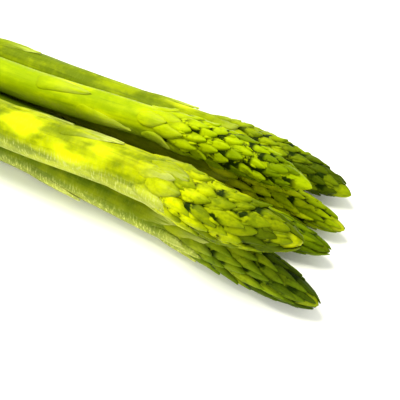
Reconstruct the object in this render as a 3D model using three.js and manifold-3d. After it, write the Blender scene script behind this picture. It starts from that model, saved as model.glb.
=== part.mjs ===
// A bundle of six green asparagus spears lying on a surface: four side by side below and two on top of them.
// Millimetres, +Z up. The spears run along X with their heads at +X. The origin is on the surface, under the
// middle of the bundle's box.
//
// Each spear is one grown piece: a stem cut flat at its butt, a few long scale leaves pressed to the stem, and
// a head covered by short overlapping scales. It is first made straight, standing on its butt along Y, and then
// bent along its own centre line.

import * as THREE from 'three';
import { mergeVertices } from 'three/addons/utils/BufferGeometryUtils.js';
import Module from 'manifold-3d';

const wasm = await Module();
wasm.setup();

// Driving dimensions, in millimetres and degrees.
// line: butt, middle, neck, head and tip of the centre line. butt, neck, head: radii of the spear there.
// headLength: how much of the tip end is head. turn: angle at which the spiral of the head's scales starts.
// leaves: start and angle of each scale leaf of the stem. Angles run from the top of the spear towards -Y.
const SPEARS = [
  {
    name: 'spear_upper_front', butt: 8, neck: 7.3, head: 8.9, headLength: 50, turn: 24, color: '#a9cf12',
    leaves: [[14, 250], [44, 28], [72, 165], [96, 300], [118, -28], [138, 110]],
    line: [[-105, -12.5, 23.8], [-25, -21.3, 22.5], [43, -22.2, 24.7], [73, -25.5, 25], [99.5, -24.5, 25.2]],
  },
  {
    name: 'spear_upper_rear', butt: 6.6, neck: 5.8, head: 7.2, headLength: 58, turn: 40, color: '#93bd14',
    leaves: [[18, 320], [45, 98], [70, 262], [92, 5], [111, 92], [129, 230]],
    line: [[-108.6, 6.6, 17.6], [-25, 5, 16.9], [30, 5.7, 19], [61, 4.5, 20.5], [93, 1.4, 20.2]],
  },
  {
    name: 'spear_lower_front', butt: 7.6, neck: 6.7, head: 7.8, headLength: 52, turn: 75, color: '#7fa31c',
    leaves: [[16, 60], [46, 197], [74, 335], [100, 112], [124, 250], [145, 27]],
    line: [[-103, -17, 7.3], [-25, -16.7, 7], [50, -22, 7.4], [79, -25, 7.5], [108.8, -29.5, 6.2]],
  },
  {
    name: 'spear_lower_inner', butt: 6.4, neck: 5.9, head: 6.9, headLength: 50, turn: 230, color: '#76991f',
    leaves: [[12, 10], [42, 148], [72, 285], [98, 63], [120, 200], [141, 338]],
    line: [[-100, -1.7, 6.2], [-25, -2.6, 5.9], [50, -6.9, 6.6], [77, -8.3, 7], [105, -9.2, 6.6]],
  },
  {
    name: 'spear_lower_middle', butt: 6.2, neck: 5.7, head: 6.8, headLength: 50, turn: 300, color: '#7c9c22',
    leaves: [[20, 130], [50, 268], [78, 45], [104, 183], [128, 320], [147, 98]],
    line: [[-106, 13.5, 6], [-25, 11.3, 5.6], [50, 8.2, 6.2], [77, 6, 6.5], [106, 2.2, 5.6]],
  },
  {
    name: 'spear_lower_rear', butt: 6.9, neck: 6.2, head: 7.6, headLength: 56, turn: 120, color: '#94bb16',
    leaves: [[15, 200], [43, 338], [70, 115], [96, 252], [116, 310], [134, 47]],
    line: [[-102, 27.3, 6.6], [-25, 25, 6.2], [43, 23.5, 6.8], [73, 21.9, 7.1], [103, 17.4, 6.2]],
  },
];

const GOLDEN_ANGLE = 137.5;
const STEM_SIDES = 14;
const HEAD_RINGS = 6;
const STEM_RINGS = 5;
const SCALE_SIDES = 5;
const SCALE_RINGS = 3;
const WIDEST = 0.32; // where the head is widest, as a share of its length
const BUTT_CHAMFER = 0.6;

// Scales of the head, from the lowest to the highest.
const HEAD_SCALES = 44;
const HEAD_SCALE_LENGTH = [17, 10.5];
const HEAD_SCALE_HALF_WIDTH = [3.3, 1.7];
const HEAD_SCALE_THICKNESS = [1.9, 0.8];
const HEAD_SCALE_SPREAD = 0.75; // under 1, a scale's rings lie towards its tip, over 1 towards its base
const FIRST_HEAD_SCALE = -0.14; // share of the head's length, so below the neck
const LAST_HEAD_SCALE = 0.8;

// Scale leaves of the stem.
const STEM_LEAF_LENGTH = 24;
const STEM_LEAF_HALF_WIDTH = 5.6;
const STEM_LEAF_THICKNESS = 0.85;
const STEM_LEAF_SPREAD = 1.6;

const SINK = 0.9; // how far a scale's back lies inside what it grows from
const BOX_BELOW_SURFACE = [400, 200, 40];

const UP = new THREE.Vector3(0, 0, 1);
const mix = (pair, share) => pair[0] + (pair[1] - pair[0]) * share;
const radians = THREE.MathUtils.degToRad;

// Centre line of a spear, with its length.
function centreLine(spear) {
  const points = spear.line.map(([x, y, z]) => new THREE.Vector3(x, y, z));
  const curve = new THREE.CatmullRomCurve3(points, false, 'catmullrom', 0.5);
  return { curve, length: curve.getLength() };
}

// Outer radius of the spear at a distance s from its butt, scales of the head included.
function outerRadius(spear, s) {
  const neckAt = spear.length - spear.headLength;
  if (s <= neckAt) return spear.butt + (spear.neck - spear.butt) * (s / neckAt);
  const share = Math.min(1, (s - neckAt) / spear.headLength);
  if (share < WIDEST) {
    return spear.neck + (spear.head - spear.neck) * Math.sin((share / WIDEST) * (Math.PI / 2));
  }
  const towardsTip = (share - WIDEST) / (1 - WIDEST);
  return spear.head * Math.max(0, 1 - towardsTip ** 2) ** 0.55;
}

// Radius of the bare shoot under the head's scales.
function coreRadius(spear, s) {
  const neckAt = spear.length - spear.headLength;
  const share = Math.min(1, Math.max(0, (s - neckAt) / spear.headLength));
  const cover = Math.min(1, share / WIDEST) * mix([2.2, 0.6], share);
  return Math.max(0.4, outerRadius(spear, s) - cover);
}

function solidOf(geometry) {
  const bare = geometry.clone();
  bare.deleteAttribute('normal');
  bare.deleteAttribute('uv');
  const merged = mergeVertices(bare, 1e-4);
  return new wasm.Manifold(new wasm.Mesh({
    numProp: 3,
    vertProperties: Float32Array.from(merged.attributes.position.array),
    triVerts: Uint32Array.from(merged.index.array),
  }));
}

// Stem and shoot in one turned profile, closed on the axis at both ends.
function shoot(spear) {
  const neckAt = spear.length - spear.headLength;
  const profile = [new THREE.Vector2(0, 0), new THREE.Vector2(spear.butt - BUTT_CHAMFER, 0)];
  for (let i = 0; i < STEM_RINGS; i++) {
    const s = i === 0 ? BUTT_CHAMFER : (neckAt * i) / STEM_RINGS;
    profile.push(new THREE.Vector2(coreRadius(spear, s), s));
  }
  const headEnd = 0.97;
  for (let i = 0; i <= HEAD_RINGS; i++) {
    const s = neckAt + spear.headLength * headEnd * (i / HEAD_RINGS);
    profile.push(new THREE.Vector2(coreRadius(spear, s), s));
  }
  profile.push(new THREE.Vector2(0, spear.length - 0.3));
  return solidOf(new THREE.LatheGeometry(profile, STEM_SIDES));
}

// A keeled scale that grows out of the shoot at distance `at` and wraps its round side.
// widthAt and heightAt give its half width and its thickness, from 0 to 1, along its length.
// It is thin where it starts, and its pointed tip stands out over the scales above it.
function scale(spear, { at, angle, length, halfWidth, thickness, spread, widthAt, heightAt }) {
  const keel = Math.PI / 2;
  const geometry = new THREE.SphereGeometry(1, SCALE_SIDES, SCALE_RINGS);
  const position = geometry.attributes.position;
  for (let i = 0; i < position.count; i++) {
    const along = (0.5 + 0.5 * position.getY(i)) ** spread;
    const around = Math.atan2(position.getZ(i), position.getX(i)) + keel;
    const pole = along < 1e-6 || along > 1 - 1e-6;
    const width = pole ? 0 : halfWidth * widthAt(along) * Math.cos(around);
    const rise = Math.sin(around);
    const s = at + length * along;
    const base = coreRadius(spear, s);
    const outer = thickness * heightAt(along);
    const height = pole ? outer * along - 0.2 : rise > 0 ? outer * rise ** 0.6 : SINK * rise;
    const radius = Math.max(0.2, base + height);
    const turn = radians(angle) + width / Math.max(base, halfWidth * 0.55);
    position.setXYZ(i, radius * Math.sin(turn), s, radius * Math.cos(turn));
  }
  return solidOf(geometry);
}

function headScales(spear) {
  const neckAt = spear.length - spear.headLength;
  const size = spear.head / 8;
  const scales = [];
  for (let i = 0; i < HEAD_SCALES; i++) {
    const share = i / (HEAD_SCALES - 1);
    const at = neckAt + spear.headLength * mix([FIRST_HEAD_SCALE, LAST_HEAD_SCALE], share ** 0.9);
    scales.push(scale(spear, {
      at,
      angle: spear.turn + i * GOLDEN_ANGLE,
      length: Math.min(mix(HEAD_SCALE_LENGTH, share) * size, spear.length - at),
      halfWidth: mix(HEAD_SCALE_HALF_WIDTH, share) * size,
      thickness: mix(HEAD_SCALE_THICKNESS, share) * size,
      spread: HEAD_SCALE_SPREAD,
      widthAt: (t) => Math.sin(Math.PI * t ** 0.8) ** 0.8,
      heightAt: (t) => Math.sin(Math.min(1, t / 0.6) * Math.PI / 2) - 0.3 * Math.max(0, t - 0.6),
    }));
  }
  return scales;
}

// Scale leaves of the stem are wide where they grow out and taper to a point.
function stemLeaves(spear) {
  return spear.leaves.map(([at, angle]) => scale(spear, {
    at,
    angle,
    length: STEM_LEAF_LENGTH,
    halfWidth: STEM_LEAF_HALF_WIDTH * (spear.neck / 7),
    thickness: STEM_LEAF_THICKNESS,
    spread: STEM_LEAF_SPREAD,
    widthAt: (t) => Math.min(1, t / 0.1) ** 0.5 * (1 - t) ** 0.7,
    heightAt: (t) => Math.sin(Math.min(1, t / 0.6) * Math.PI / 2),
  }));
}

// Moves each vertex of the straight spear to its place round the bent centre line.
function bend(spear, vertices) {
  for (let i = 0; i < vertices.length; i += 3) {
    const share = THREE.MathUtils.clamp(vertices[i + 1] / spear.length, 0, 1);
    const centre = spear.curve.getPointAt(share);
    const forward = spear.curve.getTangentAt(share);
    const side = new THREE.Vector3().crossVectors(forward, UP).normalize();
    const up = new THREE.Vector3().crossVectors(side, forward);
    const place = centre.addScaledVector(side, vertices[i]).addScaledVector(up, vertices[i + 2]);
    place.toArray(vertices, i);
  }
}

function geometryOf(solid) {
  const mesh = solid.getMesh();
  const geometry = new THREE.BufferGeometry();
  geometry.setAttribute('position', new THREE.BufferAttribute(Float32Array.from(mesh.vertProperties), 3));
  geometry.setIndex(new THREE.BufferAttribute(Uint32Array.from(mesh.triVerts), 1));
  return geometry;
}

function belowSurface() {
  const [width, depth, height] = BOX_BELOW_SURFACE;
  return solidOf(new THREE.BoxGeometry(width, depth, height).translate(0, 0, -height / 2));
}

for (const spear of SPEARS) {
  Object.assign(spear, centreLine(spear));
}

const bundle = new THREE.Group();
const ground = belowSurface();
for (const spear of SPEARS) {
  const straight = geometryOf(wasm.Manifold.union([shoot(spear), ...stemLeaves(spear), ...headScales(spear)]));
  const vertices = straight.attributes.position.array;
  bend(spear, vertices);
  const geometry = geometryOf(solidOf(straight).subtract(ground));
  geometry.computeVertexNormals();
  const skin = new THREE.MeshStandardMaterial({ color: spear.color, roughness: 0.45, metalness: 0 });
  skin.flatShading = true;
  const mesh = new THREE.Mesh(geometry, skin);
  mesh.name = spear.name;
  bundle.add(mesh);
}

export default bundle;
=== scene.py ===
import math
import random

import bmesh
import bpy
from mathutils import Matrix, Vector, noise


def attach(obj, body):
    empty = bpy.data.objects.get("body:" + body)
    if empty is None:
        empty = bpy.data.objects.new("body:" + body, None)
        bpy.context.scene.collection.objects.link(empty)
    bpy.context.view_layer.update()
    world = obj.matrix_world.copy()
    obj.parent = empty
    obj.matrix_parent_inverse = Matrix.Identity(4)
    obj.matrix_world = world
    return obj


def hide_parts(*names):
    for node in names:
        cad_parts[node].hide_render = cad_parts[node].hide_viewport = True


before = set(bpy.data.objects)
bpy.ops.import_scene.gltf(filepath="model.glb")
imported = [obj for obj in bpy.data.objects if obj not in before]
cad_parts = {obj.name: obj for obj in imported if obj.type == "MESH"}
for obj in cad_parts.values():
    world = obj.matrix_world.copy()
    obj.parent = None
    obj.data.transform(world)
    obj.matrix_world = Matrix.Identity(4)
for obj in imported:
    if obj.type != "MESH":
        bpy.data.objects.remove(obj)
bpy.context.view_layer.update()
print("frame loaded")

mm = 0.001
scene = bpy.context.scene
scene.view_settings.view_transform = "Standard"
scene.view_settings.look = "None"


# camera, fitted to the photo
camera = {
    "target": Vector((55, -3.5, 0)) * mm,
    "azimuth": 27.69,
    "elevation": 48,
    "distance": 230 * mm,
    "sensor": 36,
    "lens": 58.5,
    "clipStart": 0.01,
    "clipEnd": 20,
}


def makeCamera(spec):
    turn = math.radians(spec["azimuth"])
    tilt = math.radians(spec["elevation"])
    towards = Vector((math.sin(turn) * math.cos(tilt), -math.cos(turn) * math.cos(tilt), math.sin(tilt)))
    data = bpy.data.cameras.new("camera")
    data.sensor_width = spec["sensor"]
    data.lens = spec["lens"]
    data.clip_start = spec["clipStart"]
    data.clip_end = spec["clipEnd"]
    made = bpy.data.objects.new("camera", data)
    made.location = spec["target"] + towards * spec["distance"]
    made.rotation_euler = (-towards).to_track_quat("-Z", "Y").to_euler()
    scene.collection.objects.link(made)
    scene.camera = made


makeCamera(camera)
print("camera placed")


# node helpers
mixSockets = (0, 6, 7)  # factor, first and second colour of a Mix node


def feed(tree, socket, value):
    if isinstance(value, (int, float)):
        socket.default_value = value
    elif isinstance(value, tuple):
        socket.default_value = (*value, 1)
    else:
        tree.links.new(value, socket)


def mathNode(tree, operation, *values):
    made = tree.nodes.new("ShaderNodeMath")
    made.operation = operation
    for socket, value in zip(made.inputs, values):
        feed(tree, socket, value)
    return made.outputs[0]


def plus(tree, first, second):
    return mathNode(tree, "ADD", first, second)


def times(tree, first, second):
    return mathNode(tree, "MULTIPLY", first, second)


def weighed(tree, values, weights):
    products = [times(tree, value, weight) for value, weight in zip(values, weights)]
    total = products[0]
    for product in products[1:]:
        total = plus(tree, total, product)
    return total


def mixColor(tree, amount, first, second):
    made = tree.nodes.new("ShaderNodeMix")
    made.data_type = "RGBA"
    for index, value in zip(mixSockets, (amount, first, second)):
        feed(tree, made.inputs[index], value)
    return made.outputs[2]


def ramp(tree, value, limits, most=1):
    made = tree.nodes.new("ShaderNodeMapRange")
    made.interpolation_type = "SMOOTHSTEP"
    made.inputs["From Min"].default_value = limits[0]
    made.inputs["From Max"].default_value = limits[1]
    made.inputs["To Max"].default_value = most
    feed(tree, made.inputs["Value"], value)
    return made.outputs["Result"]


def attribute(tree, name):
    made = tree.nodes.new("ShaderNodeAttribute")
    made.attribute_name = name
    return made.outputs["Vector"]


def split(tree, vector):
    made = tree.nodes.new("ShaderNodeSeparateXYZ")
    feed(tree, made.inputs[0], vector)
    return made.outputs


def noiseOn(tree, vector, settings):
    stretch, detail, roughness = settings
    mapping = tree.nodes.new("ShaderNodeMapping")
    mapping.inputs["Scale"].default_value = stretch
    feed(tree, mapping.inputs["Vector"], vector)
    made = tree.nodes.new("ShaderNodeTexNoise")
    made.inputs["Scale"].default_value = 1
    made.inputs["Detail"].default_value = detail
    made.inputs["Roughness"].default_value = roughness
    feed(tree, made.inputs["Vector"], mapping.outputs[0])
    return made.outputs["Fac"]


# skin that the spears share: noises as (stretch, detail, roughness), limits of masks and their strengths
skinLook = {
    "fibres": ((1500, 70, 1500), 2, 0.55),
    "bands": ((420, 16, 420), 2, 0.55),
    "patches": ((110, 45, 110), 3, 0.55),
    "lumps": ((260, 190, 260), 3, 0.65),
    "strokes": ((420, 1500, 420), 2, 0.75),
    "grain": ((700, 500, 700), 3, 0.55),
    "vessels": ((1300, 10, 1300), 1, 0.55),
    "mottleWeights": (0.45, 0.25, 0.3),  # patches, bands, lumps
    "mottleLimits": (0.42, 0.62),
    "fibreLimits": (0.55, 0.8), "fibreDepth": 0.4,
    "bandLimits": (0.56, 0.7), "bandDepth": 0.3,
    # painted highlight: sunlit patches on the stems, lighter and yellower
    "highlightLimits": (0.3, 0.62), "highlightStrength": 0.56, "highlightColor": (0.8, 0.87, 0.004),
    # painted bounce light: the pale haze and thicker strokes lie low on the near side
    "bounceLightWeights": (0.9, -0.5, 2 * mm),  # sideways, upwards, bands
    "bounceLightLimits": (4.4 * mm, 8 * mm), "bounceLightHaze": 0.2,
    "strokeLimits": (0.5, 0.66), "strokeStrength": 0.7, "strokesAnywhere": 0.04,
    "scaleTipLimits": (0.6, 1),
    "lumpLimits": (0.42, 0.64), "lumpDepth": 0.4,
    # painted shade towards the sides of each scale
    "edgeLimits": (0.35, 1), "edgeDepth": 0.38,
    "grainLimits": (0.45, 0.75), "grainDepth": 0.35,
    "headTipLimits": (0.5, 1.15), "headTipDepth": 0.7,
    # painted shadow in the slits between the scales
    "slitShadowLimits": (0, 0.8), "slitShadowBreaks": (0.44, 0.54), "slitShadowColor": (0.007, 0.018, 0),
    "paperyLimits": (0.3, 0.6),
    "vesselLimits": (0.5, 0.62), "pithColor": (0.5, 0.56, 0.24), "vesselColor": (0.3, 0.38, 0.1),
    "rindLimits": (0.72, 0.92),
    "roughness": 0.36, "roughnessWeights": (0.25, 0.4),  # grain, bloom
    "heightWeights": (0.6, 0.25, 0.5),  # fibres, strokes, grain
    "bumpStrength": 0.35, "bumpHeight": 0.25 * mm,
    "subsurface": 0.2, "subsurfaceReach": (1.4 * mm, 1.8 * mm, 0.3 * mm),
    "specular": 0.05, "specularTint": (0.9, 1, 0.3),
}


def makeSkinGroup(look):
    tree = bpy.data.node_groups.new("spearSkin", "ShaderNodeTree")
    for name in ("Deep", "Middle", "Bright", "Pale"):
        tree.interface.new_socket(name, in_out="INPUT", socket_type="NodeSocketColor")
    # painted shade on the stem, as a share of the deep colour
    tree.interface.new_socket("PaintedShade", in_out="INPUT", socket_type="NodeSocketFloat")
    tree.interface.new_socket("Color", in_out="OUTPUT", socket_type="NodeSocketColor")
    tree.interface.new_socket("Roughness", in_out="OUTPUT", socket_type="NodeSocketFloat")
    tree.interface.new_socket("Height", in_out="OUTPUT", socket_type="NodeSocketFloat")
    given = tree.nodes.new("NodeGroupInput").outputs
    result = tree.nodes.new("NodeGroupOutput").inputs

    def deepen(start, mask, name):
        amount = ramp(tree, mask, look[name + "Limits"], look[name + "Depth"])
        return mixColor(tree, amount, start, given["Deep"])

    # place on the straight spear, place on a scale with its tone (on the stem, its painted highlight), and kind
    # of surface with painted shade and papery tips
    straight = attribute(tree, "straight")
    along, across, tone = split(tree, attribute(tree, "scale"))
    isScale, paintedShadeAndPapery, isCut = split(tree, attribute(tree, "kind"))
    fibres = noiseOn(tree, straight, look["fibres"])
    bands = noiseOn(tree, straight, look["bands"])
    patches = noiseOn(tree, straight, look["patches"])
    lumps = noiseOn(tree, straight, look["lumps"])
    strokes = noiseOn(tree, straight, look["strokes"])
    grain = noiseOn(tree, straight, look["grain"])
    vessels = noiseOn(tree, straight, look["vessels"])

    # stem: patches, long bands and fine fibres; painted shade towards the deep colour, and painted highlights
    # where light falls on the stem
    mottled = weighed(tree, (patches, bands, lumps), look["mottleWeights"])
    color = mixColor(tree, ramp(tree, mottled, look["mottleLimits"]), given["Middle"], given["Bright"])
    color = deepen(color, fibres, "fibre")
    color = deepen(color, bands, "band")
    # painted shade: the stem darkened towards the deep colour
    color = mixColor(tree, given["PaintedShade"], color, given["Deep"])
    # painted highlight where light falls on the stem
    glow = times(tree, tone, ramp(tree, patches, look["highlightLimits"], look["highlightStrength"]))
    color = mixColor(tree, glow, color, look["highlightColor"])

    # pale bloom in short strokes all over, and painted bounce light: a pale haze and thicker strokes low on the
    # near side, where light thrown up from the floor falls
    sideways, _, upwards = split(tree, straight)
    low = ramp(tree, weighed(tree, (sideways, upwards, bands), look["bounceLightWeights"]), look["bounceLightLimits"])
    bloomAndBounceLight = plus(tree, times(tree, low, look["strokeStrength"]), look["strokesAnywhere"])
    bloomAndBounceLight = times(tree, bloomAndBounceLight, ramp(tree, strokes, look["strokeLimits"]))
    color = mixColor(tree, plus(tree, times(tree, low, look["bounceLightHaze"]), bloomAndBounceLight), color, given["Pale"])

    # scales: brighter towards their foot where they bulge, partly their own paler foot and partly a painted
    # highlight; greener towards their tips and the tip of the head
    scaleColor = mixColor(tree, ramp(tree, along, look["scaleTipLimits"]), given["Bright"], given["Middle"])
    greener = plus(tree, mathNode(tree, "MAXIMUM", tone, 0),
                   ramp(tree, lumps, look["lumpLimits"], look["lumpDepth"]))
    scaleColor = mixColor(tree, mathNode(tree, "MINIMUM", greener, 1), scaleColor, given["Middle"])
    # painted shade: each scale darker towards its sides, where its round form turns from the light
    scaleColor = deepen(scaleColor, mathNode(tree, "ABSOLUTE", across), "edge")
    scaleColor = deepen(scaleColor, grain, "grain")
    scaleColor = deepen(scaleColor, tone, "headTip")
    color = mixColor(tree, isScale, color, scaleColor)

    # painted shade: the slits between the scales are painted nearly black where shadow falls between them, and
    # thin tips turn papery
    slitShadow = times(tree, ramp(tree, paintedShadeAndPapery, look["slitShadowLimits"]), ramp(tree, lumps, look["slitShadowBreaks"]))
    color = mixColor(tree, slitShadow, color, look["slitShadowColor"])
    thin = mathNode(tree, "MAXIMUM", times(tree, paintedShadeAndPapery, -1), 0)
    papery = times(tree, thin, ramp(tree, fibres, look["paperyLimits"]))
    color = mixColor(tree, papery, color, given["Pale"])

    # cut end: pale pith with vessels, green below the skin
    pith = mixColor(tree, ramp(tree, vessels, look["vesselLimits"]), look["pithColor"], look["vesselColor"])
    pith = mixColor(tree, ramp(tree, across, look["rindLimits"]), pith, given["Middle"])
    feed(tree, result["Color"], mixColor(tree, isCut, color, pith))

    rough = weighed(tree, (grain, bloomAndBounceLight), look["roughnessWeights"])
    feed(tree, result["Roughness"], plus(tree, rough, look["roughness"]))
    feed(tree, result["Height"], weighed(tree, (fibres, strokes, grain), look["heightWeights"]))
    return tree


skinGroup = makeSkinGroup(skinLook)


def makeSkin(spear, look):
    material = bpy.data.materials.new(spear["name"] + "Skin")
    material.use_nodes = True
    tree = material.node_tree
    surface = tree.nodes["Principled BSDF"].inputs
    skin = tree.nodes.new("ShaderNodeGroup")
    skin.node_tree = skinGroup
    for shade in ("deep", "middle", "bright", "pale"):
        feed(tree, skin.inputs[shade.title()], spear[shade])
    feed(tree, skin.inputs["PaintedShade"], spear["paintedStemShade"])
    bump = tree.nodes.new("ShaderNodeBump")
    feed(tree, bump.inputs["Strength"], look["bumpStrength"])
    feed(tree, bump.inputs["Distance"], look["bumpHeight"])
    feed(tree, bump.inputs["Height"], skin.outputs["Height"])
    feed(tree, surface["Base Color"], skin.outputs["Color"])
    feed(tree, surface["Roughness"], skin.outputs["Roughness"])
    feed(tree, surface["Normal"], bump.outputs[0])
    feed(tree, surface["Subsurface Weight"], look["subsurface"])
    surface["Subsurface Radius"].default_value = look["subsurfaceReach"]
    feed(tree, surface["Subsurface Scale"], 1)
    feed(tree, surface["Specular IOR Level"], look["specular"])
    feed(tree, surface["Specular Tint"], look["specularTint"])
    return material


# centre line of a spear: a smooth curve through its points, and the place and directions at a length s along it
line = {
    "steps": 160,
    "aim": 6,  # samples before and after a place that give its direction
}


def sampleLine(points):
    steps = line["steps"]
    points = [Vector(point) for point in points]
    points = [2 * points[0] - points[1], *points, 2 * points[-1] - points[-2]]
    samples = []
    for start in range(len(points) - 3):
        a, b, c, d = points[start:start + 4]
        for step in range(steps):
            t = step / steps
            samples.append(0.5 * (2 * b + (c - a) * t + (2 * a - 5 * b + 4 * c - d) * t ** 2
                                  + (3 * b - a - 3 * c + d) * t ** 3))
    samples.append(points[-2])
    lengths = [0]
    for before, after in zip(samples, samples[1:]):
        lengths.append(lengths[-1] + (after - before).length)
    return samples, lengths


def placeOnLine(spear, s):
    samples, lengths = spear["samples"], spear["lengths"]
    s = min(max(s, 0), lengths[-1])
    low, high = 0, len(lengths) - 1
    while high - low > 1:
        middle = (low + high) // 2
        if lengths[middle] <= s:
            low = middle
        else:
            high = middle
    share = (s - lengths[low]) / (lengths[high] - lengths[low])
    centre = samples[low].lerp(samples[high], share)
    before = samples[max(low - line["aim"], 0)]
    after = samples[min(high + line["aim"], len(samples) - 1)]
    forward = (after - before).normalized()
    side = forward.cross(Vector((0, 0, 1))).normalized()
    return centre, side, side.cross(forward)


# radii of a spear, in millimetres along its straight length
girth = {
    "widest": 0.32,  # where the head is widest, as a share of its length
    "bluntness": 0.55,
    "cover": (2.2, 0.6),  # what the scales add to the shoot, at the neck and at the tip
    "least": 0.4,
}


def between(pair, share):
    return pair[0] + (pair[1] - pair[0]) * share


def smooth(low, high, value):
    share = min(1, max(0, (value - low) / (high - low)))
    return share * share * (3 - 2 * share)


def outerRadius(spear, s):
    if s <= spear["neckAt"]:
        return between((spear["butt"], spear["neck"]), s / spear["neckAt"])
    share = min(1, (s - spear["neckAt"]) / spear["headLength"])
    if share < girth["widest"]:
        grown = math.sin(share / girth["widest"] * math.pi / 2)
        return between((spear["neck"], spear["head"]), grown)
    towardsTip = (share - girth["widest"]) / (1 - girth["widest"])
    return spear["head"] * max(0, 1 - towardsTip ** 2) ** girth["bluntness"]


def coreRadius(spear, s):
    share = min(1, max(0, (s - spear["neckAt"]) / spear["headLength"]))
    cover = min(1, share / girth["widest"]) * between(girth["cover"], share)
    return max(girth["least"], outerRadius(spear, s) - cover)


# each vertex knows its place on the straight spear, its place and tone on a scale, and its kind of surface with
# its painted shade
def taggedMesh():
    bm = bmesh.new()
    for name in ("straight", "scale", "kind"):
        bm.verts.layers.float_vector.new(name)
    return bm


def tagged(bm):
    layers = bm.verts.layers.float_vector
    return layers["straight"], layers["scale"], layers["kind"]


def moveInto(bm, part):
    carrier = bpy.data.meshes.new("carrier")
    part.to_mesh(carrier)
    part.free()
    bm.from_mesh(carrier)
    bpy.data.meshes.remove(carrier)


# shoot: the stem and the core of the head, spun around the spear's length
shoot = {
    "sides": 56,
    "ringSpacing": 2.2,
    "headRings": 60,
    "lastRing": 0.985,  # as a share of the head
    "chamfer": 0.6,
    "chamferLength": 0.8,
    "chamferStops": [0.15, 0.4, 0.8, 1.4],
    "cutDepth": 0.1,
    "tipGap": 0.3,
    "swell": 0.3, "swellAround": 1.2, "swellAlong": 0.055,
    "ridge": 0.14, "ridges": 11, "ridgeTwist": 0.012, "ridgeFade": (0.2, 0.02),
    "evenButt": 3,  # length over which swell and ridges come in
    # painted highlights: how the sunlit patches on the stem spread
    "glowStretch": 0.6, "highlightCore": 0.4,
    # painted shade on the core of the head, under the scales
    "paintedShadeFrom": (0, 0.12), "paintedShadeTo": (0.84, 0.95),  # as shares of the head
}


# how much a place on the stem belongs to one of its painted highlights, the sunlit patches given as length,
# angle and reach
def paintedHighlightAt(spear, s, degrees, radius):
    glow = 0
    for middle, angle, reach in spear["paintedHighlights"]:
        around = (degrees - angle + 180) % 360 - 180
        off = math.hypot((s - middle) * shoot["glowStretch"], math.radians(around) * radius)
        glow = max(glow, 1 - smooth(shoot["highlightCore"] * reach, reach, off))
    return glow


def shootProfile(spear):
    spacing, rings = shoot["ringSpacing"], shoot["headRings"]
    stops = shoot["chamferStops"] + [spacing * step for step in range(1, int(spear["neckAt"] / spacing))]
    reach = spear["headLength"] * shoot["lastRing"]
    stops += [spear["neckAt"] + reach * step / rings for step in range(rings + 1)]
    profile = [(0, 0), (spear["butt"] / 2, 0), (spear["butt"] - shoot["chamfer"], 0)]
    for s in stops:
        cut = shoot["chamfer"] * max(0, 1 - s / shoot["chamferLength"]) ** 2
        profile.append((coreRadius(spear, s) - cut, s))
    profile.append((0, spear["length"] - shoot["tipGap"]))
    return profile


def addShoot(bm, spear):
    verts = [bm.verts.new((radius, s, 0)) for radius, s in shootProfile(spear)]
    edges = [bm.edges.new(pair) for pair in zip(verts, verts[1:])]
    bmesh.ops.spin(bm, geom=verts + edges, cent=(0, 0, 0), axis=(0, 1, 0), angle=math.tau,
                   steps=shoot["sides"], use_merge=True, dvec=(0, 0, 0))
    bmesh.ops.remove_doubles(bm, verts=bm.verts[:], dist=0.001)
    bmesh.ops.recalc_face_normals(bm, faces=bm.faces[:])
    straight, scale, kind = tagged(bm)
    wide, seed = shoot["swellAround"], spear["seed"]
    fadeAcross, fadeAlong = shoot["ridgeFade"]
    for vert in bm.verts:
        x, s, z = vert.co
        around = math.atan2(x, z)
        radius = math.hypot(x, z)
        if radius > 1:
            swell = noise.noise(Vector((math.sin(around) * wide, s * shoot["swellAlong"],
                                        math.cos(around) * wide + seed)))
            ridges = math.sin(around * shoot["ridges"] + seed + s * shoot["ridgeTwist"])
            ridges *= noise.noise(Vector((x * fadeAcross, s * fadeAlong, z * fadeAcross)))
            more = (shoot["swell"] * swell + shoot["ridge"] * ridges) * min(1, s / shoot["evenButt"])
            vert.co = (x * (1 + more / radius), s, z * (1 + more / radius))
        # painted shade on the core of the head where the scales cover it
        share = (s - spear["neckAt"]) / spear["headLength"]
        paintedShadeAmount = smooth(*shoot["paintedShadeFrom"], share) * (1 - smooth(*shoot["paintedShadeTo"], share))
        vert[straight] = Vector(vert.co) * mm
        # on the shoot the tone holds the painted highlight of its sunlit patches
        vert[scale] = (0, radius / spear["butt"], paintedHighlightAt(spear, s, math.degrees(around), radius))
        vert[kind] = (0, paintedShadeAmount, 1 if s < shoot["cutDepth"] else 0)


# one scale: a ball drawn out along the shoot, sunk into it below and lifted free towards its tip
scaleForm = {
    "sink": 0.9,
    "endSink": 0.2,
    "freeFrom": 0.55,
    "freeHeight": 0.35,
    "lobeWaves": 5.2,
    "leastTurn": 0.55,  # of its half width, keeps scales near the tip from wrapping round
    "leastRadius": 0.2,
    "bumpSize": 0.55, "bumpAlong": 0.6,
    # painted shade at the foot of each scale, under the tips of the scales below
    "paintedShadeFoot": (0.31, 0.45),
    "paperyTip": (0.2, 0.9),
    "underside": 0.05,
    "poleReach": 1e-6,
}


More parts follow.
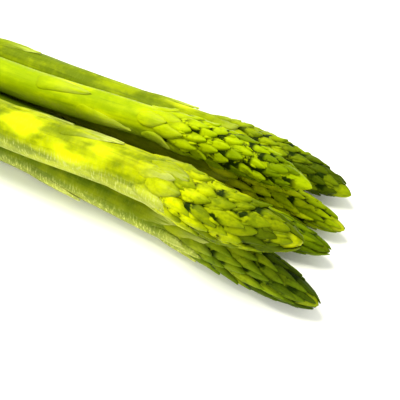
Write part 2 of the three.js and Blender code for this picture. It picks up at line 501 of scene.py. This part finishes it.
def addScale(bm, spear, form):
    part = taggedMesh()
    bmesh.ops.create_uvsphere(part, u_segments=form["sides"], v_segments=form["rings"], radius=1)
    straight, scale, kind = tagged(part)
    for vert in part.verts:
        along = 0.5 + 0.5 * vert.co.z
        around = math.atan2(vert.co.y, vert.co.x)
        pole = min(along, 1 - along) < scaleForm["poleReach"]
        across = 0 if pole else math.cos(around)
        rise = math.sin(around)
        s = form["at"] + form["length"] * along
        base = coreRadius(spear, s)
        outer = form["thickness"] * form["heightAt"](along)
        free = smooth(scaleForm["freeFrom"], 1, along)
        lobes = form["lobes"] * math.cos(across * scaleForm["lobeWaves"] + form["phase"])
        if pole:
            height = outer * along - scaleForm["endSink"]
        elif rise > 0:
            height = outer * rise ** form["round"] * (1 + lobes * (1 - free))
        else:
            height = scaleForm["sink"] * rise * (1 - free) + outer * scaleForm["freeHeight"] * free
        width = 0 if pole else form["halfWidth"] * form["widthAt"](along) * across
        turn = math.radians(form["angle"] + form["skew"] * along ** 2)
        turn += width / max(base, form["halfWidth"] * scaleForm["leastTurn"])
        place = Vector((base * math.sin(turn), s * scaleForm["bumpAlong"],
                        base * math.cos(turn) + spear["seed"]))
        bump = form["bumps"] * noise.noise(place * scaleForm["bumpSize"])
        radius = max(scaleForm["leastRadius"], base + height + form["lift"] * free + bump)
        vert.co = (radius * math.sin(turn), s, radius * math.cos(turn))
        # painted shade at the foot of the scale and on its underside, and a papery tip
        paintedShadeAndPapery = form["paintedShadeAmount"] * (1 - smooth(*scaleForm["paintedShadeFoot"], along))
        paintedShadeAndPapery -= form["papery"] * smooth(*scaleForm["paperyTip"], along)
        if rise < scaleForm["underside"] and form["papery"] == 0:
            paintedShadeAndPapery = form["paintedShadeAmount"]
        vert[straight] = Vector(vert.co) * mm
        vert[scale] = (along, across, form["tone"])
        vert[kind] = (form["skin"], paintedShadeAndPapery, 0)
    moveInto(bm, part)


# scales of the head on a spiral, from the foot of the head (first value of a pair) to its tip (second value)
headScales = {
    "count": 76,
    "goldenAngle": 137.5,
    "angleJitter": 6,
    "start": -0.14, "reach": 0.94, "crowding": 0.9,
    "length": (14.4, 9.2), "lengthSpread": (0.85, 1.08),
    "halfWidth": (3.05, 1.7), "widthSpread": (0.8, 1.08),
    "thickness": (1.7, 0.7), "thicknessSpread": (0.85, 1.08),
    "flush": 0.65,  # thickness of the lowest scales, as a share
    "lobes": (0.15, 0.42), "lobesFrom": (0.05, 0.35), "phase": 3,
    "papery": 0.5,
    "lift": (0.1, 0.85), "liftLeft": (1, 0.3),
    "bumps": 0.6,
    "skew": 12,
    "tone": 1.05, "toneSpread": (-0.25, 0.4),
    # painted shade at the feet of the scales, from the foot of the head upwards
    "paintedShadeFrom": (0.05, 0.4),
    "budsFrom": 0.15,
    "radius": 8,  # of the head that the sizes above are for
    "widthShift": 0.82, "widthRound": 0.68,
    "highest": 0.6, "fall": 0.3,
}


def headWidth(t):
    return math.sin(math.pi * t ** headScales["widthShift"]) ** headScales["widthRound"]


def headHeight(t):
    past = max(0, t - headScales["highest"])
    return math.sin(min(1, t / headScales["highest"]) * math.pi / 2) - headScales["fall"] * past


def addHeadScales(bm, spear, draw):
    look = headScales
    size = spear["head"] / look["radius"]
    jitter = look["angleJitter"]
    for index in range(look["count"]):
        share = index / (look["count"] - 1)
        at = spear["neckAt"] + spear["headLength"] * (look["start"] + look["reach"] * share ** look["crowding"])
        grown = smooth(0, spear["collar"], share)
        angle = spear["turn"] + index * look["goldenAngle"] + draw.uniform(-jitter, jitter)
        length = between(look["length"], share) * size * spear["stretch"] * draw.uniform(*look["lengthSpread"])
        halfWidth = between(look["halfWidth"], share) * size * draw.uniform(*look["widthSpread"])
        thickness = between(look["thickness"], share) * size * draw.uniform(*look["thicknessSpread"])
        scale = {
            "sides": 18,
            "rings": 10,
            "at": at,
            "angle": angle,
            "length": min(length, spear["length"] - at),
            "halfWidth": halfWidth / spear["stretch"],
            "thickness": thickness * between((look["flush"], 1), grown),
            "round": 1.25,
            "lobes": draw.uniform(*look["lobes"]) * smooth(*look["lobesFrom"], share) * spear["lumps"],
            "phase": draw.uniform(-look["phase"], look["phase"]),
            "skin": grown,
            "papery": look["papery"] * (1 - grown),
            "lift": draw.uniform(*look["lift"]) * between(look["liftLeft"], share),
            "bumps": look["bumps"] * size * spear["lumps"],
            "skew": draw.uniform(-look["skew"], look["skew"]),
            "tone": look["tone"] * share + draw.uniform(*look["toneSpread"]),
            "paintedShadeAmount": smooth(*look["paintedShadeFrom"], share),
            "widthAt": headWidth,
            "heightAt": headHeight,
        }
        addScale(bm, spear, scale)
        if share > look["budsFrom"] and spear["lumps"] == 1:
            addBud(bm, spear, scale, draw)


# small bud that looks out from under one side of a scale; its sizes are shares of the scale's
bud = {
    "at": (0.3, 0.44),
    "away": (0.5, 0.95),
    "length": (0.36, 0.5),
    "halfWidth": (0.3, 0.42),
    "thickness": (0.9, 1.25),
    "tipGap": 0.1,
    # painted shade on the bud, which lies under a scale
    "paintedShadeAmount": 0.7,
}


def addBud(bm, spear, scale, draw):
    side = draw.choice((-1, 1))
    at = scale["at"] + scale["length"] * draw.uniform(*bud["at"])
    base = max(coreRadius(spear, at), scale["halfWidth"])
    away = math.degrees(scale["halfWidth"] * draw.uniform(*bud["away"]) / base)
    length = scale["length"] * draw.uniform(*bud["length"])
    addScale(bm, spear, {
        **scale,
        "sides": 8,
        "rings": 6,
        "at": at,
        "angle": scale["angle"] + side * away,
        "length": min(length, spear["length"] - at - bud["tipGap"]),
        "halfWidth": scale["halfWidth"] * draw.uniform(*bud["halfWidth"]),
        "thickness": scale["thickness"] * draw.uniform(*bud["thickness"]),
        "lobes": 0,
        "lift": 0,
        "paintedShadeAmount": bud["paintedShadeAmount"],
    })


# long leaf pressed to the stem, with a papery tip
stemLeaf = {
    "sides": 20,
    "rings": 16,
    "length": 24,
    "halfWidth": 0.8,  # as a share of the neck's radius
    "thickness": 0.85,
    "round": 1.5,
    "lobes": 0,
    "phase": 0,
    "skin": 0.1,
    "papery": 0.7,
    "lift": 0,
    "bumps": 0.15,
    "skew": 4,
    "tone": 0,
    "paintedShadeAmount": 0,
}


leafOutline = {
    "foot": 0.1, "footRound": 0.5,
    "taper": 0.7,
    "highest": 0.6,
}


def leafWidth(t):
    return min(1, t / leafOutline["foot"]) ** leafOutline["footRound"] * (1 - t) ** leafOutline["taper"]


def leafHeight(t):
    return math.sin(min(1, t / leafOutline["highest"]) * math.pi / 2)


def addStemLeaves(bm, spear, draw):
    for at, angle in spear["leaves"]:
        addScale(bm, spear, {
            **stemLeaf,
            "at": at,
            "angle": angle,
            "halfWidth": stemLeaf["halfWidth"] * spear["neck"],
            "skew": draw.uniform(-stemLeaf["skew"], stemLeaf["skew"]),
            "widthAt": leafWidth,
            "heightAt": leafHeight,
        })


# bends the straight spear along its centre line and keeps it above the surface it lies on
lowest = 0.02


def bendAll(bm, spear):
    for vert in bm.verts:
        x, s, z = vert.co
        centre, side, up = placeOnLine(spear, s)
        place = centre + side * x + up * z
        place.z = max(place.z, lowest)
        vert.co = place * mm


def makeSpear(spear):
    spear["samples"], spear["lengths"] = sampleLine(spear["line"])
    spear["length"] = spear["lengths"][-1]
    spear["neckAt"] = spear["length"] - spear["headLength"]
    draw = random.Random(spear["seed"])
    bm = taggedMesh()
    addShoot(bm, spear)
    addStemLeaves(bm, spear, draw)
    addHeadScales(bm, spear, draw)
    bendAll(bm, spear)
    for face in bm.faces:
        face.smooth = True
    mesh = bpy.data.meshes.new(spear["name"])
    bm.to_mesh(mesh)
    bm.free()
    mesh.materials.append(makeSkin(spear, skinLook))
    piece = bpy.data.objects.new(spear["name"], mesh)
    scene.collection.objects.link(piece)
    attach(piece, "root")
    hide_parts(spear["node"])
    print(spear["name"], "made", len(mesh.polygons), "faces")


# spears: sizes in millimetres, leaves as (length, angle), painted highlights (sunlit patches) as (length,
# angle, reach), angles from the top
upperFront = {
    "name": "spearUpperFront", "node": "spear_upper_front", "slot": "bright_green_skin", "seed": 3,
    "butt": 8, "neck": 7.3, "head": 8.9, "headLength": 50, "turn": 24,
    "leaves": [(14, 250), (44, 28), (72, 165), (96, 300), (118, -28), (138, 110)],
    "line": [(-105, -12.5, 23.8), (-25, -21.3, 22.5), (43, -22.2, 24.7), (73, -25.5, 25), (99.5, -24.5, 25.2)],
    "deep": (0.012, 0.028, 0), "middle": (0.16, 0.215, 0.001),
    "bright": (0.51, 0.57, 0), "pale": (0.49, 0.53, 0.13),
    "stretch": 1, "lumps": 1, "collar": 0.16, "paintedStemShade": 0.22,
    "paintedHighlights": [(129, 30, 9), (106, 18, 6)],
}
makeSpear(upperFront)

upperRear = {
    "name": "spearUpperRear", "node": "spear_upper_rear", "slot": "bright_green_skin", "seed": 5,
    "butt": 6.6, "neck": 5.8, "head": 7.2, "headLength": 58, "turn": 40,
    "leaves": [(18, 320), (45, 98), (70, 262), (92, 5), (111, 92), (129, 230)],
    "line": [(-108.6, 6.6, 17.6), (-25, 5, 16.9), (30, 5.7, 19), (61, 4.5, 20.5), (93, 1.4, 20.2)],
    "deep": (0.06, 0.105, 0), "middle": (0.26, 0.36, 0),
    "bright": (0.42, 0.51, 0), "pale": (0.31, 0.36, 0.035),
    "stretch": 1, "lumps": 1, "collar": 0.2, "paintedStemShade": 0.08,
    "paintedHighlights": [(102, 3, 5), (122, 92, 5)],
}
makeSpear(upperRear)

lowerFront = {
    "name": "spearLowerFront", "node": "spear_lower_front", "slot": "deep_green_skin", "seed": 8,
    "butt": 7.6, "neck": 6.7, "head": 7.8, "headLength": 52, "turn": 75,
    "leaves": [(16, 60), (46, 197), (74, 335), (100, 112), (124, 250), (145, 27)],
    "line": [(-103, -17, 7.3), (-25, -16.7, 7), (50, -22, 7.4), (79, -25, 7.5), (108.8, -29.5, 6.2)],
    "deep": (0.006, 0.016, 0), "middle": (0.115, 0.18, 0.003),
    "bright": (0.29, 0.35, 0.004), "pale": (0.7, 0.74, 0.17),
    "stretch": 1.25, "lumps": 0.3, "collar": 0.22, "paintedStemShade": 0.25,
    "paintedHighlights": [],
}
makeSpear(lowerFront)

lowerInner = {
    "name": "spearLowerInner", "node": "spear_lower_inner", "slot": "deep_green_skin", "seed": 13,
    "butt": 6.4, "neck": 5.9, "head": 6.9, "headLength": 50, "turn": 230,
    "leaves": [(12, 10), (42, 148), (72, 285), (98, 63), (120, 200), (141, 338)],
    "line": [(-100, -1.7, 6.2), (-25, -2.6, 5.9), (50, -6.9, 6.6), (77, -8.3, 7), (105, -9.2, 6.6)],
    "deep": (0.03, 0.06, 0), "middle": (0.18, 0.26, 0),
    "bright": (0.34, 0.4, 0), "pale": (0.35, 0.4, 0.06),
    # painted shade: this stem lies in the dark gap under the upper spears
    "stretch": 1.25, "lumps": 0.3, "collar": 0.06, "paintedStemShade": 0.8,
    "paintedHighlights": [],
}
makeSpear(lowerInner)

lowerMiddle = {
    "name": "spearLowerMiddle", "node": "spear_lower_middle", "slot": "deep_green_skin", "seed": 21,
    "butt": 6.2, "neck": 5.7, "head": 6.8, "headLength": 50, "turn": 300,
    "leaves": [(20, 130), (50, 268), (78, 45), (104, 183), (128, 320), (147, 98)],
    "line": [(-106, 13.5, 6), (-25, 11.3, 5.6), (50, 8.2, 6.2), (77, 6, 6.5), (106, 2.2, 5.6)],
    # painted light: these colours are set light to stand in for light on a head that lies in the shade of the
    # upper spears
    "deep": (0.04, 0.08, 0), "middle": (0.38, 0.48, 0),
    "bright": (0.74, 0.77, 0.01), "pale": (0.6, 0.64, 0.08),
    # painted shade: this stem lies in the dark gap under the upper spears
    "stretch": 1.25, "lumps": 0.3, "collar": 0.04, "paintedStemShade": 0.55,
    "paintedHighlights": [],
}
makeSpear(lowerMiddle)

lowerRear = {
    "name": "spearLowerRear", "node": "spear_lower_rear", "slot": "bright_green_skin", "seed": 34,
    "butt": 6.9, "neck": 6.2, "head": 7.6, "headLength": 56, "turn": 120,
    "leaves": [(15, 200), (43, 338), (70, 115), (96, 252), (116, 310), (134, 47)],
    "line": [(-102, 27.3, 6.6), (-25, 25, 6.2), (43, 23.5, 6.8), (73, 21.9, 7.1), (103, 17.4, 6.2)],
    "deep": (0.008, 0.02, 0), "middle": (0.145, 0.205, 0.002),
    "bright": (0.34, 0.42, 0), "pale": (0.5, 0.58, 0.08),
    "stretch": 1, "lumps": 1, "collar": 0.22, "paintedStemShade": 0.2,
    "paintedHighlights": [(133, -40, 6)],
}
makeSpear(lowerRear)


# plain floor
floorLook = {
    "color": (0.99, 0.985, 0.87),
    "roughness": 0.6,
    "specular": 0.1,
    "halfSize": 3,
    "squares": 8,
}


def makeFloor(look):
    bm = bmesh.new()
    bmesh.ops.create_grid(bm, x_segments=look["squares"], y_segments=look["squares"], size=look["halfSize"])
    mesh = bpy.data.meshes.new("floor")
    bm.to_mesh(mesh)
    bm.free()
    floor = bpy.data.objects.new("floor", mesh)
    scene.collection.objects.link(floor)
    material = bpy.data.materials.new("whiteSurface")
    material.use_nodes = True
    surface = material.node_tree.nodes["Principled BSDF"].inputs
    surface["Base Color"].default_value = (*look["color"], 1)
    surface["Roughness"].default_value = look["roughness"]
    surface["Specular IOR Level"].default_value = look["specular"]
    mesh.materials.append(material)


makeFloor(floorLook)


# light: one soft lamp above, a weak one at the viewer's side, and an even sky
lamps = {
    "key": {
        "place": (-0.2, 0.015, 0.6), "aim": (0.04, 0, 0.01),
        "size": 0.32, "power": 6.1, "color": (1, 0.98, 0.93),
    },
    "fill": {
        "place": (0.3, -0.4, 0.22), "aim": (0.05, 0, 0.01),
        "size": 0.4, "power": 1.1, "color": (1, 1, 1),
    },
}
sky = {
    "color": (0.94, 0.96, 1),
    "strength": 0.8,
}


def makeLamp(name, lamp):
    data = bpy.data.lights.new(name, "AREA")
    data.shape = "DISK"
    data.size = lamp["size"]
    data.energy = lamp["power"]
    data.color = lamp["color"]
    made = bpy.data.objects.new(name, data)
    made.location = lamp["place"]
    aim = Vector(lamp["aim"]) - Vector(lamp["place"])
    made.rotation_euler = aim.to_track_quat("-Z", "Y").to_euler()
    scene.collection.objects.link(made)


for name, lamp in lamps.items():
    makeLamp(name, lamp)

world = bpy.data.worlds.new("world")
scene.world = world
world.use_nodes = True
background = world.node_tree.nodes["Background"].inputs
background["Color"].default_value = (*sky["color"], 1)
background["Strength"].default_value = sky["strength"]
print("light and floor made")
